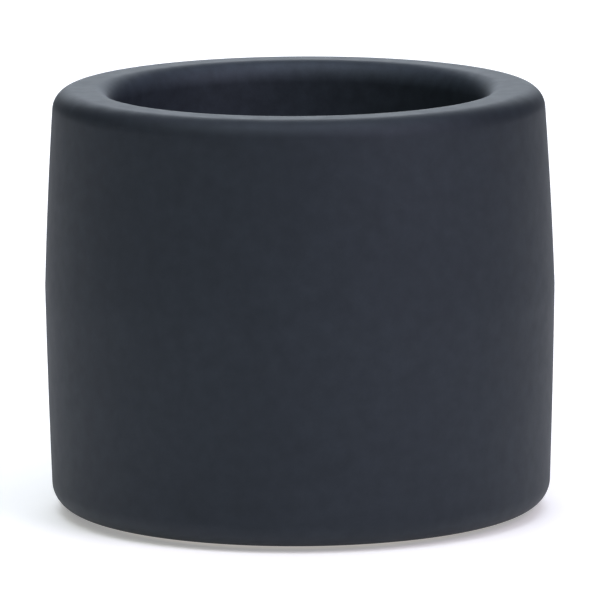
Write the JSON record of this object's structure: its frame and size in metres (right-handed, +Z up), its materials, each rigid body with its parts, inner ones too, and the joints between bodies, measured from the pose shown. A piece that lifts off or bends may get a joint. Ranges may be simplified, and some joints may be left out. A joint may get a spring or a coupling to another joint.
{
  "type": "candle jar",
  "caption": "Empty thick-walled round candle jar with a broad rounded rim, a slightly bellied wall and a pad under its foot.",
  "frame": {"origin": "centre of the pad's underside, where the jar rests on the table", "axes": "+Z up along the jar's axis; the jar is round, so X and Y are free"},
  "size_m": [0.09, 0.09, 0.075],
  "materials": {
    "bare_stoneware": "unglazed, fine grained",
    "slate_glaze": "matte slate",
    "cork": "pressed granules, dry",
    "adhesive_film": "translucent, tacky"
  },
  "bodies": {
    "root": {"jar_body": "bare_stoneware", "matte_glaze": "slate_glaze", "cork_pad": "cork", "pad_adhesive": "adhesive_film"}
  },
  "joints": []
}
